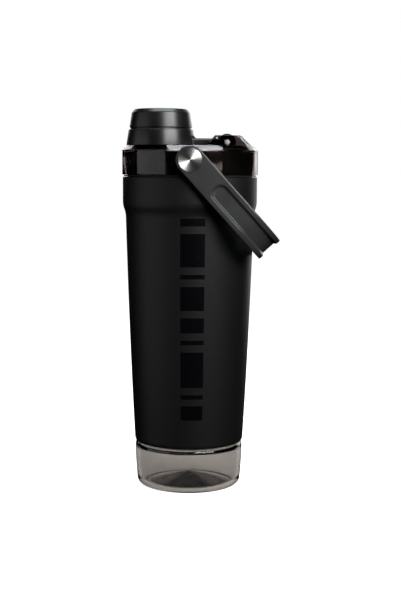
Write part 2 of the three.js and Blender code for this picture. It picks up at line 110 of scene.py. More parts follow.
# The arm's sides stand just inside the knuckle's ends, so that no two faces share a plane.
ARM_HALF = KNUCKLE_HALF - 0.05
ARM_TOP_Z = 240.2
PIN_BORE_R = 2.05
LID_CHAMFER = DECK_Z - LID_EDGE_Z
LID_WALL = 2.45
DECK_THICKNESS = 2.6
POCKET_FLOOR_Z = 229
POCKET_HALF_LENGTH = 9
POCKET_HALF_WIDTH = 12
ROOF_Z = 232.05
ROOF_UNDERSIDE_Z = 226.9
PLUG_R = BAND_R - 3.2
PLUG_BORE_R = 39.6
LID_LEAD = 18
LID_THREAD_Z = 201.6
PIVOT_POCKET_Y = 41.2
BOSS_R = 6.9
PIVOT_BORE_R = 3.8
PIVOT_BORE_Y = 42.3
SPOUT_R = 14.5
SPOUT_BORE_R = 12.5
SKIRT_R = 18.6
CARRIER_RIB_R = 20.9
CARRIER_BORE_R = SKIRT_R + 1.5
CARRIER_LIP_Z = 243

STRAP_ANGLE = math.radians(47.9)
STRAP_HALF_WIDTH = 9.3
STRAP_THICKNESS = 4.6
HANDLE_HALF = 52.5
HANDLE_REACH = 80.3
BEND_R = 28
CHANNEL_HALF_WIDTH = 6.25
CHANNEL_DEPTH = 1.5
CHANNEL_START = 23.4
CHANNEL_WALL = 1.8

# ------------------------------------------------------------------ outlines


def bezier(start, control_a, control_b, end, steps):
    """Points of a cubic curve, without its first one."""
    points = []
    for i in range(1, steps + 1):
        t = i / steps
        u = 1 - t
        weights = (u * u * u, 3 * u * u * t, 3 * u * t * t, t * t * t)
        corners = (start, control_a, control_b, end)
        x = sum(w * c[0] for w, c in zip(weights, corners))
        y = sum(w * c[1] for w, c in zip(weights, corners))
        points.append((x, y))
    return points


def rounded(corners, closed=True, steps=FILLET_STEPS):
    """An outline through corners given as (x, y) or (x, y, fillet radius)."""
    count = len(corners)
    outline = []
    for i, corner in enumerate(corners):
        here = Vector(corner[:2])
        radius = corner[2] if len(corner) > 2 else 0
        at_end = not closed and i in (0, count - 1)
        if not radius or at_end:
            outline.append(tuple(here))
            continue
        to_last = (Vector(corners[i - 1][:2]) - here).normalized()
        to_next = (Vector(corners[(i + 1) % count][:2]) - here).normalized()
        half = to_last.angle(to_next) / 2
        reach = radius / math.tan(half)
        first = here + to_last * reach
        last = here + to_next * reach
        centre = here + (to_last + to_next).normalized() * (radius / math.sin(half))
        sweep = (first - centre).angle_signed(last - centre)
        for k in range(steps + 1):
            turn = Matrix.Rotation(-sweep * k / steps, 2)
            outline.append(tuple(centre + turn @ (first - centre)))
    return outline


def toe(radius, height, across, up, steps):
    """A quarter of an ellipse, from an underside round to the upright side above it."""
    points = []
    for k in range(steps + 1):
        angle = math.pi / 2 * (k / steps - 1)
        x = radius - across + across * math.cos(angle)
        y = height + up + up * math.sin(angle)
        points.append((x, y))
    return points


def circle(radius, sides=AROUND_SMALL):
    steps = [2 * math.pi * k / sides for k in range(sides)]
    return [(radius * math.cos(a), radius * math.sin(a)) for a in steps]


def washer(inner_r, outer_r, low, high, fillet):
    """The outline of a flat ring with rounded edges."""
    corners = [(inner_r, low), (outer_r, low), (outer_r, high), (inner_r, high)]
    return rounded([(r, z, fillet) for r, z in corners])


# ------------------------------------------------------------------ meshes


def add_tube(bm, rings):
    """Joins rings of vertices into a closed tube with flat ends."""
    count = len(rings[0])
    for one, two in zip(rings, rings[1:]):
        for k in range(count):
            n = (k + 1) % count
            bm.faces.new((one[k], one[n], two[n], two[k]))
    bm.faces.new(rings[0])
    bm.faces.new(rings[-1])
    return bm


def add_turned(bm, outline, sides=AROUND, centre=(0, 0), closed=True):
    """Turns an outline of (radius, height) about a vertical axis. An open one ends on the axis."""
    rings = []
    for radius, height in outline:
        if radius < 1e-6:
            rings.append([bm.verts.new((centre[0], centre[1], height))])
            continue
        ring = []
        for k in range(sides):
            angle = 2 * math.pi * k / sides
            x = centre[0] + radius * math.cos(angle)
            y = centre[1] + radius * math.sin(angle)
            ring.append(bm.verts.new((x, y, height)))
        rings.append(ring)
    pairs = list(zip(rings, rings[1:]))
    if closed:
        pairs.append((rings[-1], rings[0]))
    for low, high in pairs:
        for k in range(sides):
            n = (k + 1) % sides
            if len(low) == 1 and len(high) == 1:
                break
            if len(low) == 1:
                bm.faces.new((low[0], high[n], high[k]))
            elif len(high) == 1:
                bm.faces.new((low[k], low[n], high[0]))
            else:
                bm.faces.new((low[k], low[n], high[n], high[k]))
    return bm


def add_ribs(bm, root, crest, z, lead, starts=4, steps=36, centre=(0, 0)):
    """Thread ribs with tapered ends, each bent along a right-hand helix."""
    sweep = 2 * math.pi * 0.88 / starts
    pitch = lead / starts
    for start in range(starts):
        rings = []
        for i in range(steps + 1):
            along = sweep * i / steps
            angle = along + start * 2 * math.pi / starts
            fade = min(1, 8 * min(i, steps - i) / steps)
            top = root + (crest - root) * (0.35 + 0.65 * math.sin(fade * math.pi / 2))
            middle = z + lead * along / (2 * math.pi)
            wide = pitch * 0.23
            narrow = pitch * 0.13
            section = [(root, -wide), (top, -narrow), (top, narrow), (root, wide)]
            ring = []
            for radius, rise in section:
                x = centre[0] + radius * math.cos(angle)
                y = centre[1] + radius * math.sin(angle)
                ring.append(bm.verts.new((x, y, middle + rise)))
            rings.append(ring)
        add_tube(bm, rings)
    return bm


def add_prism(bm, outline, low, high, axis, place=(0, 0, 0)):
    """A prism along an axis: X takes an outline in (y, z), Y one in (x, z) and Z one in (x, y)."""
    ends = []
    for along in (low, high):
        ring = []
        for a, b in outline:
            point = {"X": (along, a, b), "Y": (a, along, b), "Z": (a, b, along)}[axis]
            ring.append(bm.verts.new(Vector(point) + Vector(place)))
        ends.append(ring)
    count = len(outline)
    bm.faces.new(ends[0])
    bm.faces.new(ends[1])
    for k in range(count):
        n = (k + 1) % count
        bm.faces.new((ends[0][k], ends[0][n], ends[1][n], ends[1][k]))
    return bm


def mesh_of(bm):
    bmesh.ops.recalc_face_normals(bm, faces=bm.faces)
    mesh = bpy.data.meshes.new("shape")
    bm.to_mesh(mesh)
    bm.free()
    return mesh


def turned(outline, sides=AROUND, centre=(0, 0), closed=True):
    return mesh_of(add_turned(bmesh.new(), outline, sides, centre, closed))


def prism(outline, low, high, axis, place=(0, 0, 0)):
    return mesh_of(add_prism(bmesh.new(), outline, low, high, axis, place))


def ribs(root, crest, z, lead, starts=4, centre=(0, 0)):
    return mesh_of(add_ribs(bmesh.new(), root, crest, z, lead, starts, centre=centre))


def combined(base, joins=(), cuts=()):
    """Joins and cuts meshes with exact booleans."""
    helpers = []
    work = bpy.data.objects.new("work", base)
    bpy.context.scene.collection.objects.link(work)
    for kind, group in (("UNION", joins), ("DIFFERENCE", cuts)):
        for mesh in group:
            helper = bpy.data.objects.new("work_part", mesh)
            bpy.context.scene.collection.objects.link(helper)
            helpers.append(helper)
            modifier = work.modifiers.new(kind.lower(), "BOOLEAN")
            modifier.operation = kind
            modifier.solver = "EXACT"
            modifier.object = helper
    graph = bpy.context.evaluated_depsgraph_get()
    result = bpy.data.meshes.new_from_object(work.evaluated_get(graph))
    for helper in [work, *helpers]:
        bpy.data.objects.remove(helper)
    return result


def shade(mesh, sharp_degrees=32):
    """Smooth shading with crisp edges where two faces meet at more than an angle."""
    bm = bmesh.new()
    bm.from_mesh(mesh)
    bmesh.ops.remove_doubles(bm, verts=bm.verts, dist=1e-4)
    for face in bm.faces:
        face.smooth = True
    limit = math.radians(sharp_degrees)
    for edge in bm.edges:
        edge.smooth = len(edge.link_faces) == 2 and edge.calc_face_angle(0) < limit
    bm.to_mesh(mesh)
    bm.free()


def piece(name, mesh, body, material, replaces=(), origin=(0, 0, 0), turn=None):
    """Places a finished mesh, given in millimetres, as one piece of the bottle."""
    shade(mesh)
    if turn is not None:
        mesh.transform(turn)
    mesh.transform(Matrix.Scale(MM, 4))
    made = bpy.data.objects.new(name, mesh)
    bpy.context.scene.collection.objects.link(made)
    made.location = Vector(origin) * MM
    mesh.materials.append(material)
    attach(made, body)
    if replaces:
        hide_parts(*replaces)
    return made


# ------------------------------------------------------------------ materials


def new_material(name):
    material = bpy.data.materials.new(name)
    material.use_nodes = True
    tree = material.node_tree
    return material, tree, tree.nodes["Principled BSDF"]


def set_inputs(shader_node, **values):
    for name, value in values.items():
        shader_node.inputs[name.replace("_", " ")].default_value = value


def node(tree, kind, **settings):
    made = tree.nodes.new(kind)
    for name, value in settings.items():
        setattr(made, name, value)
    return made


def noise(tree, scale, detail=2.0, roughness=0.5, stretch=(1, 1, 1)):
    """Solid noise in the piece's own coordinates. The scale is in cells for each metre."""
    place = node(tree, "ShaderNodeTexCoord")
    mapping = node(tree, "ShaderNodeMapping")
    mapping.inputs["Scale"].default_value = stretch
    made = node(tree, "ShaderNodeTexNoise")
    set_inputs(made, Scale=scale, Detail=detail, Roughness=roughness)
    tree.links.new(place.outputs["Object"], mapping.inputs["Vector"])
    tree.links.new(mapping.outputs["Vector"], made.inputs["Vector"])
    return made.outputs["Fac"]


def spread(tree, source, low, high):
    """Maps a 0 to 1 source onto a range."""
    made = node(tree, "ShaderNodeMapRange")
    made.inputs["From Min"].default_value = 0.3
    made.inputs["From Max"].default_value = 0.7
    made.inputs["To Min"].default_value = low
    made.inputs["To Max"].default_value = high
    tree.links.new(source, made.inputs["Value"])
    return made.outputs["Result"]


def blend_colours(tree, factor, dark, light):
    made = node(tree, "ShaderNodeMix", data_type="RGBA")
    made.inputs["A"].default_value = (*dark, 1)
    made.inputs["B"].default_value = (*light, 1)
    tree.links.new(factor, made.inputs["Factor"])
    return made.outputs["Result"]


def bump(tree, height, strength, distance, under=None):
    made = node(tree, "ShaderNodeBump")
    made.inputs["Strength"].default_value = strength
    made.inputs["Distance"].default_value = distance
    tree.links.new(height, made.inputs["Height"])
    if under is not None:
        tree.links.new(under, made.inputs["Normal"])
    return made.outputs["Normal"]


def powder_coat():
    """Matt black powder coat: fine orange peel over a slower waviness."""
    material, tree, shader = new_material("powder_coat")
    peel = noise(tree, 1500, detail=3, roughness=0.6)
    wave = noise(tree, 160, detail=1)
    tone = blend_colours(tree, spread(tree, peel, 0, 1), (0.003, 0.003, 0.0033), (0.0052, 0.0052, 0.0057))
    tree.links.new(tone, shader.inputs["Base Color"])
    tree.links.new(spread(tree, peel, 0.4, 0.56), shader.inputs["Roughness"])
    slow = bump(tree, wave, 0.25, 0.00012)
    tree.links.new(bump(tree, peel, 0.5, 0.00007, slow), shader.inputs["Normal"])
    set_inputs(shader, Specular_IOR_Level=0.35)
    return material


def moulded(name, dark, light, roughness, grain=2600, lines=0.0):
    """Satin moulded plastic with a fine grain, and faint turned lines where asked."""
    material, tree, shader = new_material(name)
    fine = noise(tree, grain, detail=2)
    cloud = noise(tree, 70, detail=3)
    tone = blend_colours(tree, spread(tree, cloud, 0, 1), dark, light)
    tree.links.new(tone, shader.inputs["Base Color"])
    tree.links.new(spread(tree, cloud, roughness - 0.03, roughness + 0.04), shader.inputs["Roughness"])
    normal = bump(tree, fine, 0.12, 0.00004)
    if lines:
        rings = noise(tree, 900, detail=2, stretch=(0.01, 0.01, 1))
        normal = bump(tree, rings, lines, 0.00004, normal)
    tree.links.new(normal, shader.inputs["Normal"])
    return material


def smoked(name, tint, roughness, ripple, passed, density):
    """See-through smoke plastic that darkens with depth, very slightly wavy like any moulding."""
    material, tree, shader = new_material(name)
    wave = noise(tree, 90, detail=1)
    smear = noise(tree, 420, detail=3)
    shader.inputs["Base Color"].default_value = (*tint, 1)
    shader.inputs["Transmission Weight"].default_value = 1.0
    shader.inputs["IOR"].default_value = 1.49
    tree.links.new(spread(tree, smear, roughness, roughness + 0.03), shader.inputs["Roughness"])
    tree.links.new(bump(tree, wave, ripple, 0.0002), shader.inputs["Normal"])
    depth = node(tree, "ShaderNodeVolumeAbsorption")
    depth.inputs["Color"].default_value = (*passed, 1)
    depth.inputs["Density"].default_value = density
    tree.links.new(depth.outputs["Volume"], tree.nodes["Material Output"].inputs["Volume"])
    return material


def turned_steel():
    """Lathe-turned steel face: fine rings that spread reflections across the grain."""
    material, tree, shader = new_material("turned_steel")
    set_inputs(shader, Metallic=1.0, Anisotropic=0.95, Anisotropic_Rotation=0.25)
    shader.inputs["Base Color"].default_value = (0.72, 0.71, 0.7, 1)
    tangent = node(tree, "ShaderNodeTangent", direction_type="RADIAL", axis="Y")
    tree.links.new(tangent.outputs["Tangent"], shader.inputs["Tangent"])
    place = node(tree, "ShaderNodeTexCoord")
    rings = node(tree, "ShaderNodeTexWave", wave_type="RINGS", rings_direction="Y")
    set_inputs(rings, Scale=1400, Distortion=0.6, Detail=2)
    tree.links.new(place.outputs["Object"], rings.inputs["Vector"])
    tree.links.new(spread(tree, rings.outputs["Fac"], 0.42, 0.5), shader.inputs["Roughness"])
    tree.links.new(bump(tree, rings.outputs["Fac"], 0.1, 0.00001), shader.inputs["Normal"])
    return material


def brushed_steel(name, colour, roughness):
    """Bare steel with a fine brushed grain."""
    material, tree, shader = new_material(name)
    set_inputs(shader, Metallic=1.0)
    shader.inputs["Base Color"].default_value = (*colour, 1)
    brush = noise(tree, 1800, detail=3, stretch=(0.02, 0.02, 1))
    tree.links.new(spread(tree, brush, roughness - 0.07, roughness + 0.08), shader.inputs["Roughness"])
    tree.links.new(bump(tree, brush, 0.15, 0.00003), shader.inputs["Normal"])
    return material


def silicone():
    """Matt black silicone with a soft, dusty bloom."""
    material, tree, shader = new_material("silicone")
    bloom = noise(tree, 240, detail=4)
    tone = blend_colours(tree, spread(tree, bloom, 0, 1), (0.006, 0.006, 0.0065), (0.012, 0.012, 0.0125))
    tree.links.new(tone, shader.inputs["Base Color"])
    tree.links.new(spread(tree, bloom, 0.55, 0.75), shader.inputs["Roughness"])
    return material


def gloss_print():
    """Glossy black print on the powder coat."""
    material, tree, shader = new_material("gloss_print")
    peel = noise(tree, 900, detail=2)
    shader.inputs["Base Color"].default_value = (0.002, 0.002, 0.0028, 1)
    tree.links.new(spread(tree, peel, 0.16, 0.24), shader.inputs["Roughness"])
    tree.links.new(bump(tree, peel, 0.2, 0.00004), shader.inputs["Normal"])
    return material


COAT = powder_coat()
PRINT = gloss_print()
SATIN_BLACK = moulded("satin_black", (0.005, 0.005, 0.0053), (0.0078, 0.0078, 0.0082), 0.32, lines=0.3)
SATIN_GREY = moulded("satin_grey", (0.034, 0.0345, 0.0355), (0.041, 0.0415, 0.043), 0.3)
DULL_BLACK = moulded("dull_black", (0.004, 0.004, 0.0045), (0.006, 0.006, 0.0065), 0.5)
SMOKE_DARK = smoked("smoke_dark", (0.5, 0.46, 0.455), 0.03, 0.15, (0.2, 0.08, 0.07), 170)
SMOKE_CLEAR = smoked("smoke_clear", (0.52, 0.5, 0.485), 0.015, 0.3, (0.14, 0.08, 0.02), 110)
TURNED_STEEL = turned_steel()
BRUSHED_STEEL = brushed_steel("brushed_steel", (0.6, 0.595, 0.585), 0.32)
SATIN_STEEL = brushed_steel("satin_steel", (0.42, 0.375, 0.37), 0.5)
SILICONE = silicone()

# ------------------------------------------------------------------ storage cup


def storage_cup():
    """Clear cup with a thick rounded foot, a coned floor and a threaded neck."""
    foot_r = 35.9
    neck_bore_r = 30.5
    corner = 5
    outline = [(0, 0)] + toe(foot_r, 0, corner, corner, 12)
    outline += bezier((foot_r, corner), (36.5, 11), (37.1, 18), (CUP_R, 26), 12)
    outline += rounded(
        [
            (CUP_R, 26.5),
            (CUP_R, CUP_SHOULDER_Z, 2.4),
            (CUP_NECK_R, CUP_SHOULDER_Z, 0.3),
            (CUP_NECK_R, CUP_RIM_Z, 0.5),
            (neck_bore_r, CUP_RIM_Z, 0.5),
            (neck_bore_r, CUP_SHOULDER_Z - 0.6, 2),
            (CUP_R - 2.3, CUP_SHOULDER_Z - 3.4, 2),
            (foot_r - 2.1, 10, 2),
            (foot_r - 2.3, 8.5),
        ],
        closed=False,
    )
    outline += bezier((foot_r - 2.3, 8.5), (foot_r - 2.4, 4), (foot_r - 3.8, 2.1), (28.5, 1.75), 14)
    outline += rounded(
        [
            (28.2, 1.76),
            (7.2, 6.8),
            (6.9, 6.4, 0.3),
            (5.9, 6.5, 0.3),
            (5.6, 7.2, 0.4),
            (2.1, 7.9, 0.6),
            (1.7, 8.5, 0.4),
            (0, 8.6),
        ],
        closed=False,
    )
    wall = turned(outline, closed=False)
    thread = ribs(CUP_NECK_R - 0.4, CUP_NECK_R + 1.2, CUP_THREAD_Z, CUP_LEAD)
    mesh = combined(wall, [thread])
    piece("storage_cup_clear", mesh, "cup", SMOKE_CLEAR, ["storage_cup"])


def body_gaskets():
    """The seal on the cup's shoulder and the one under the lid."""
    gaskets = [("cup_seal_ring", "cup_gasket", CUP_NECK_R), ("lid_seal_ring", "lid_gasket", PLUG_R)]
    for name, node_name, neck_r in gaskets:
        low, high = box_mm(node_name)
        outline = washer(neck_r + 0.3, high.x, low.z, high.z, 0.3)
        piece(name, turned(outline), name, SILICONE, [node_name])


# ------------------------------------------------------------------ body


def body_line():
    """Outside line of the steel body, from its foot to its rim."""
    line = toe(37.7, BODY_BOTTOM_Z, 1.1, 2.9, 8)
    line += bezier((37.7, 34.1), (40.6, 85), (42.3, 130), (44.05, 186.5), 40)
    line += bezier((44.05, 186.5), (44.25, 191.8), (BAND_R - 0.05, 192.2), (BAND_R, 197.5), 16)
    return line


def body_radius(height):
    """Outside radius of the body at a height."""
    line = body_line()
    for (r_low, z_low), (r_high, z_high) in zip(line, line[1:]):
        if z_low <= height <= z_high:
            return r_low + (r_high - r_low) * (height - z_low) / (z_high - z_low)
    return BAND_R


def outer_shell():
    line = body_line()
    rim = rounded(
        [
            (BAND_R, 198),
            (BAND_R, BODY_RIM_Z, 0.55),
            (BAND_R - STEEL_WALL - 0.4, BODY_RIM_Z, 0.2),
            (BAND_R - STEEL_WALL - 0.4, BODY_RIM_Z - 2),
        ],
        closed=False,
    )
    inside = [(r - STEEL_WALL, z) for r, z in reversed(line)]
    mesh = turned(line + rim + inside)
    piece("body_coated", mesh, "bottle", COAT, ["outer_shell"])


def inner_liner():
    mouth_r = BAND_R - 1.6
    wall = 0.7
    outline = rounded(
        [
            (0, liner_low.z),
            (35.5, liner_low.z, 8.5),
            (41.2, 189.5, 6),
            (mouth_r + wall, 199.5, 3),
            (mouth_r + wall, BODY_RIM_Z, 0.2),
            (mouth_r, BODY_RIM_Z, 0.2),
            (mouth_r, 199.6, 3),
            (40.5, 189.6, 6),
            (34.8, liner_low.z + wall, 7.8),
            (0, liner_low.z + wall),
        ],
        closed=False,
        steps=10,
    )
    thread = ribs(mouth_r + 0.3, mouth_r - 1.2, LID_THREAD_Z + 2.25, LID_LEAD)
    mesh = combined(turned(outline, closed=False), [thread])
    piece("liner_steel", mesh, "bottle", BRUSHED_STEEL, ["inner_liner"])


def base_plate():
    """The plate that closes the vacuum space, with a dimple for the getter."""
    z = plate_high.z
    outline = rounded(
        [
            (0, z - 1.8),
            (4, z - 1.8, 0.8),
            (6, z - 0.9, 0.8),
            (plate_high.x, z - 0.9, 0.2),
            (plate_high.x, z, 0.2),
            (5.6, z, 0.6),
            (3.6, z - 0.9, 0.6),
            (0, z - 0.9),
        ],
        closed=False,
    )
    mesh = turned(outline, closed=False)
    piece("plate_steel", mesh, "bottle", BRUSHED_STEEL, ["base_plate"])


def vacuum_getter():
    low, high = box_mm("vacuum_getter")
    middle = (low + high) / 2
    radius = (high.x - low.x) / 2
    outline = rounded([(0, low.z), (radius, low.z, 0.5), (radius, high.z, 0.5), (0, high.z)], closed=False)
    mesh = turned(outline, 48, (middle.x, middle.y), closed=False)
    piece("getter_pill", mesh, "bottle", BRUSHED_STEEL, ["vacuum_getter"])


def base_collar():
    bore_r = CUP_NECK_R + 1.6
    low = collar_low.z
    high = collar_high.z
    outer_r = collar_high.x
    outline = rounded(
        [
            (bore_r, low, 0.4),
            (35.5, low, 0.4),
            (35.5, low + 2.4, 0.5),
            (outer_r - 0.3, low + 4, 0.5),
            (outer_r, high, 0.4),
            (bore_r, high, 0.4),
        ]
    )
    thread = ribs(bore_r + 0.4, CUP_NECK_R + 0.4, CUP_THREAD_Z - 2, CUP_LEAD)
    mesh = combined(turned(outline), [thread])
    piece("collar_black", mesh, "bottle", DULL_BLACK, ["base_collar"])


def print_bars():
    """A plain column of level gloss bars printed up the front of the body."""
    middle_angle = math.radians(-90 + 2.6)
    half_angle = math.radians(10.8)
    lift = 0.03
    thickness = 0.03
    columns = 14
    bm = bmesh.new()
    bars = [(51.5, 10), (66, 3), (74, 24), (103, 3), (111, 10), (126, 16), (147, 3), (155, 22), (182, 5)]
    for start, height in bars:
        rows = max(2, int(height))
        layers = []
        for depth in (lift, lift + thickness):
            layer = []
            for j in range(rows + 1):
                line = []
                for i in range(columns + 1):
                    across = i / columns
                    angle = middle_angle + half_angle * (2 * across - 1)
                    z = start + height * j / rows
                    r = body_radius(z) + depth
                    line.append(bm.verts.new((r * math.cos(angle), r * math.sin(angle), z)))
                layer.append(line)
            layers.append(layer)
        inner, outer = layers
        for j in range(rows):
            for i in range(columns):
                for layer in layers:
                    corners = (layer[j][i], layer[j][i + 1], layer[j + 1][i + 1], layer[j + 1][i])
                    bm.faces.new(corners)
        loop = [(0, i) for i in range(columns)] + [(j, columns) for j in range(rows)]
        loop += [(rows, i) for i in range(columns, 0, -1)] + [(j, 0) for j in range(rows, 0, -1)]
        for (j, i), (m, n) in zip(loop, loop[1:] + loop[:1]):
            bm.faces.new((inner[j][i], inner[m][n], outer[m][n], outer[j][i]))
    piece("body_print", mesh_of(bm), "bottle", PRINT)


# ------------------------------------------------------------------ lid


def cheek_mesh(side):
    """One wall of the hinge housing, whose far end follows the lid's cone."""
    cone_reach = LID_R + LID_EDGE_Z
    sunk = 0.5
    base_z = DECK_Z - sunk
    inner, outer = SLOT_HALF, HOUSING_HALF
    edge = 0.35
    slices = [
        (inner, edge),
        (inner + edge * 0.3, edge * 0.3),
        (inner + edge, 0),
        ((inner + outer) / 2 - 1, 0),
        ((inner + outer) / 2 + 1, 0),
        (outer - edge, 0),
        (outer - edge * 0.3, edge * 0.3),
        (outer, edge),
    ]
    bm = bmesh.new()
    rings = []
    for y, inset in slices:
        top = HOUSING_Z - inset
        top_x = math.sqrt((cone_reach - HOUSING_Z) ** 2 - y * y) - inset * 0.4
        base_x = math.sqrt((cone_reach - base_z) ** 2 - y * y) - inset * 1.2
        outline = rounded(
            [
                (10.4 + inset * 1.2, base_z),
                (16.6 + inset * 0.4, top, 0.5),
                (top_x, top, 0.5),
                (base_x, base_z),
            ]
        )
        rings.append([bm.verts.new((x, side * y, z)) for x, z in outline])
    return mesh_of(add_tube(bm, rings))


def lid_shell():
    """Smoke shell: the outer skirt, the deck, the hinge housing and the two pivot bosses."""
    inner_r = LID_R - LID_WALL
    under = DECK_Z - DECK_THICKNESS
    outline = rounded(
        [
            (0, DECK_Z),
            (LID_R - LID_CHAMFER, DECK_Z, 0.5),
            (LID_R, LID_EDGE_Z, 0.6),
            (LID_R, LID_BOTTOM_Z, 0.4),
            (inner_r, LID_BOTTOM_Z, 0.4),
            (inner_r, under - 1.6, 0.8),
            (inner_r - 1.6, under, 0.8),
            (0, under),
        ],
        closed=False,
    )
    joins = [pocket_block(0, POCKET_FLOOR_Z, under + 0.5), cheek_mesh(-1), cheek_mesh(1)]
    pocket = prism(circle(KNUCKLE_R + 0.4), -SLOT_HALF, SLOT_HALF, "Y", HINGE)
    reach = HOUSING_HALF + 1
    pin_bore = prism(circle(PIN_BORE_R, 48), -reach, reach, "Y", HINGE)
    sight_r = 0.9
    sight = (18.4, 0, HOUSING_Z - 1.5)
    sight_hole = prism(circle(sight_r, 32), -reach, reach, "Y", sight)
    cuts = [spout_rod(SPOUT_R + 0.9, under - 1, DECK_Z + 1), pocket, pin_bore, sight_hole]
    for side in (-1, 1):
        joins.append(pivot_rod(side, BOSS_R, PIVOT_POCKET_Y + 0.4, inner_r + 1))
        cuts.append(pivot_rod(side, PIVOT_BORE_R, PIVOT_BORE_Y, LID_R + 1))
    mesh = combined(turned(outline, closed=False), joins, cuts)
    piece("lid_smoke", mesh, "lid", SMOKE_DARK, ["lid_shell"])


def spout_rod(radius, low, high, fillet=0):
    """A rod on the spout's own axis."""
    outline = rounded([(0, low), (radius, low), (radius, high, fillet), (0, high)], closed=False)
    return turned(outline, AROUND_SMALL, (CAP_X, 0), closed=False)


def pivot_rod(side, radius, near, far):
    """A rod on the handle's axis, between two distances from the middle of the lid."""
    low, high = sorted((side * near, side * far))
    return prism(circle(radius), low, high, "Y", (0, 0, PIVOT_Z))


def pocket_block(room, low, high):
    """A block the size of the hinge pocket, with some room added on each side."""
    near = HINGE.x - POCKET_HALF_LENGTH - room
    far = HINGE.x + POCKET_HALF_LENGTH + room
    half = POCKET_HALF_WIDTH + room
    return prism([(near, low), (far, low), (far, high), (near, high)], -half, half, "Y")


def inner_lid():
    """Opaque inner lid: the screw plug, the roof that fills the shell, and the threaded spout."""
    low = inner_low.z
    side_r = LID_R - LID_WALL - 0.3
    edge = 1.55
    outline = rounded(
        [
            (0, ROOF_UNDERSIDE_Z),
            (PLUG_BORE_R, ROOF_UNDERSIDE_Z, 1.5),
            (PLUG_BORE_R, low, 0.6),
            (PLUG_R, low, 0.6),
            (PLUG_R, LID_BOTTOM_Z, 0.2),
            (side_r, LID_BOTTOM_Z, 0.3),
            (side_r, ROOF_Z - edge, 0.4),
            (side_r - edge, ROOF_Z, 0.4),
            (0, ROOF_Z),
        ],
        closed=False,
    )
    thread = ribs(PLUG_R - 0.3, PLUG_R + 1.2, LID_THREAD_Z, LID_LEAD)
    spout = spout_rod(SPOUT_R, ROOF_UNDERSIDE_Z + 0.5, SPOUT_RIM_Z, 0.6)
    spout_thread = ribs(SPOUT_R - 0.3, SPOUT_R + 0.6, 241, 6, 2, (CAP_X, 0))
    bore = spout_rod(SPOUT_BORE_R, ROOF_UNDERSIDE_Z - 1, SPOUT_RIM_Z + 1)
    room = 0.4
    cuts = [bore, pocket_block(room, POCKET_FLOOR_Z - room, ROOF_Z + 1)]
    for side in (-1, 1):
        cuts.append(pivot_rod(side, BOSS_R + room, PIVOT_POCKET_Y, LID_R))
    mesh = combined(turned(outline, closed=False), [thread, spout, spout_thread], cuts)
    piece("inner_lid_black", mesh, "lid", DULL_BLACK, ["inner_lid"])


def mixing_grid():
    """Ring with crossed bars, all with softened edges."""
    low = grid_low.z
    outer_r = grid_high.x
    inner_r = outer_r - 1.8
    half = 1.2
    ring = turned(washer(inner_r, outer_r, low, grid_high.z, 0.5))
    bars = []
    for step in range(-2, 3):
        middle = step * 12
        reach = math.sqrt(outer_r**2 - (abs(middle) + half) ** 2) - 0.6
        section = washer(-half, half, low, low + 2, 0.4)
        moved = [(a + middle, b) for a, b in section]
        bars += [prism(moved, -reach, reach, "X"), prism(moved, -reach, reach, "Y")]
    piece("mixing_grid", combined(ring, bars), "mixing_grid", SATIN_GREY, ["agitator"])


# ------------------------------------------------------------------ cap


# The cap's pieces have their origin on the cap's own axis, so their grain runs round it.
CAP_ORIGIN = (CAP_X, 0, 0)
TO_CAP_ORIGIN = Matrix.Translation((-CAP_X, 0, 0))


def carrier_ring():
    """The ring that keeps the twist cap: a rib stands up round its top, and a lip runs inside."""
    top = SPOUT_RIM_Z - 0.05
    lip_r = SKIRT_R + 0.4
    lip_top = CAP_BOTTOM_Z - 0.35
    outline = rounded(
        [
            (CARRIER_R, CARRIER_BOTTOM_Z, 0.25),
            (CARRIER_R - 1.55, top, 0.3),
            (CARRIER_RIB_R, top, 0.1),
            (CARRIER_RIB_R, lip_top, 0.2),
            (lip_r, lip_top, 0.25),
            (lip_r, CARRIER_LIP_Z + 0.4, 0.15),
            (CARRIER_BORE_R, CARRIER_LIP_Z, 0.2),
            (CARRIER_BORE_R, CARRIER_BOTTOM_Z, 0.3),
        ]
    )
    return turned(outline, AROUND, (CAP_X, 0))


def carrier_arm(start_x):
    """The flat arm that runs from the ring to the hinge."""
    corners = [
        (-ARM_HALF, CARRIER_BOTTOM_Z, 0.3),
        (ARM_HALF, CARRIER_BOTTOM_Z, 0.3),
        (ARM_HALF, ARM_TOP_Z, 2.2),
        (-ARM_HALF, ARM_TOP_Z, 2.2),
    ]
    return prism(rounded(corners, steps=8), start_x, HINGE.x, "X")


def carrier_gusset(start_x):
    """The small slope where the arm's top meets the ring."""
    outline = [
        (start_x, ARM_TOP_Z - 1),
        (start_x, ARM_TOP_Z + 2.2),
        (start_x + 2.4, ARM_TOP_Z + 1.6),
        (start_x + 4.1, ARM_TOP_Z - 0.05),
        (start_x + 4.1, ARM_TOP_Z - 1),
    ]
    half = KNUCKLE_HALF - 1.6
    return prism(outline, -half, half, "Y")


def carrier_barrel():
    """The knuckle's barrel, which lies along the hinge pin."""
    half = KNUCKLE_HALF
    edge = 0.5
    corners = [(0, -half), (KNUCKLE_R, -half, edge), (KNUCKLE_R, half, edge), (0, half)]
    barrel = turned(rounded(corners, closed=False), AROUND_SMALL, closed=False)
    barrel.transform(Matrix.Translation(HINGE) @ Matrix.Rotation(math.pi / 2, 4, "X"))
    return barrel


